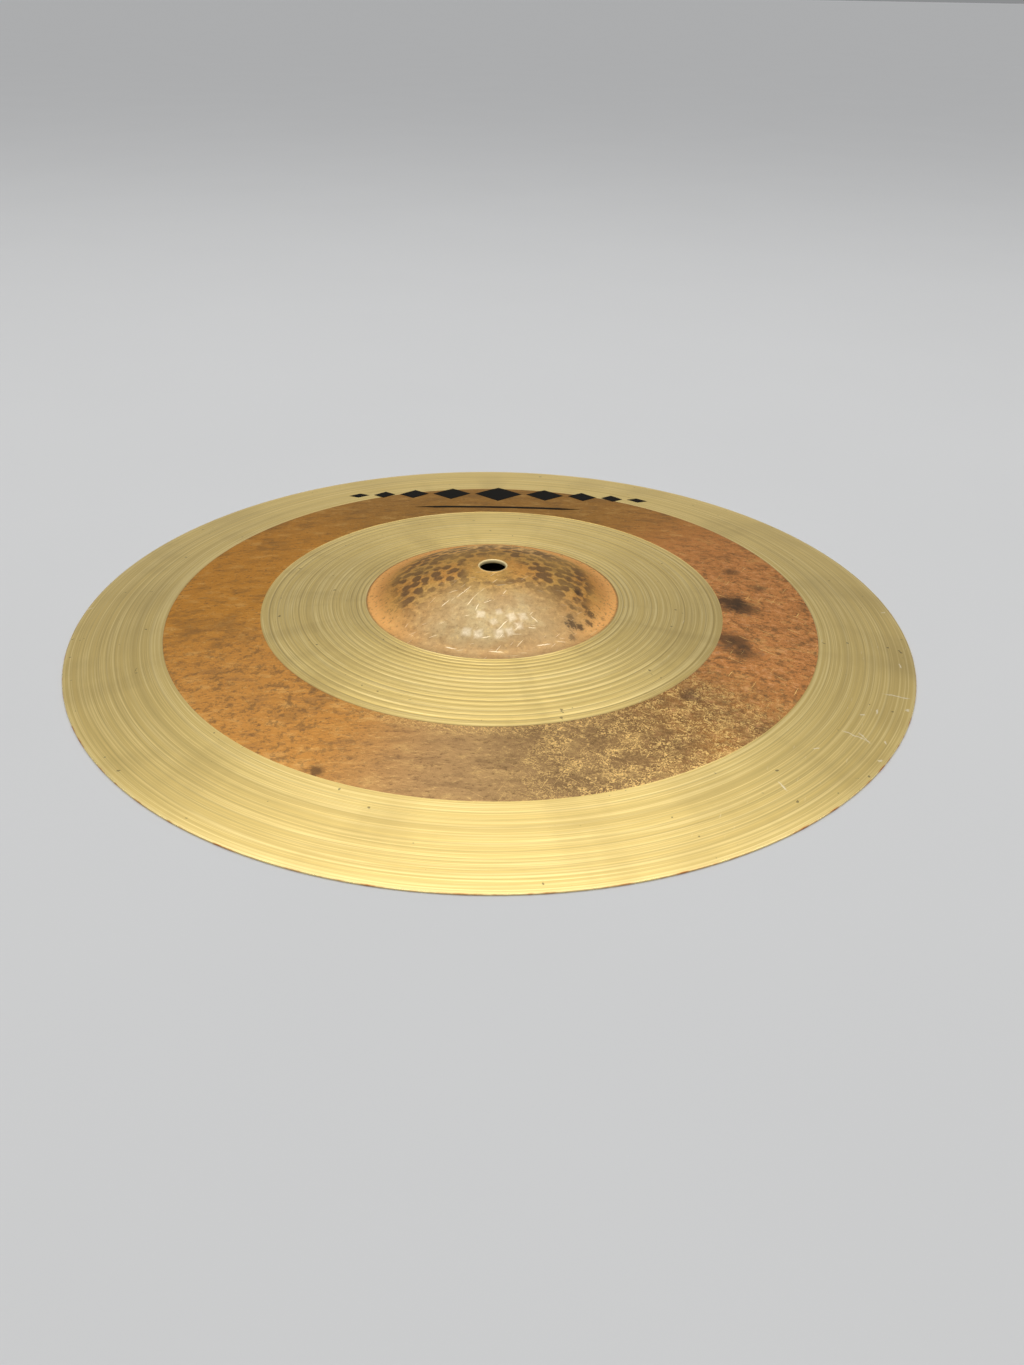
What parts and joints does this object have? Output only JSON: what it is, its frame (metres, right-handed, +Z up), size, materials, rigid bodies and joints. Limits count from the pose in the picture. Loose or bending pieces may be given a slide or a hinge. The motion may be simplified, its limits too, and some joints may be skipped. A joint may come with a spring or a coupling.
{
  "type": "crash cymbal",
  "caption": "Suspended bronze cymbal with a hammered bell, alternating turned and unturned bands, a centre mounting hole and a plain printed ornament.",
  "frame": {"origin": "on the axis, in the plane the rim rests on", "axes": "+Z up out of the bell, +Y towards the printed ornament, +X to the right with the ornament at the far side"},
  "size_m": [0.4064, 0.4064, 0.0304],
  "materials": {
    "bronze": "bell bronze: turned bands bright and finely grooved, unturned bell and band brown, coppery and hammered",
    "ink": "flat black screen-printed ink"
  },
  "bodies": {
    "root": {"cymbal": "bronze", "printed_mark": "ink"}
  },
  "joints": []
}
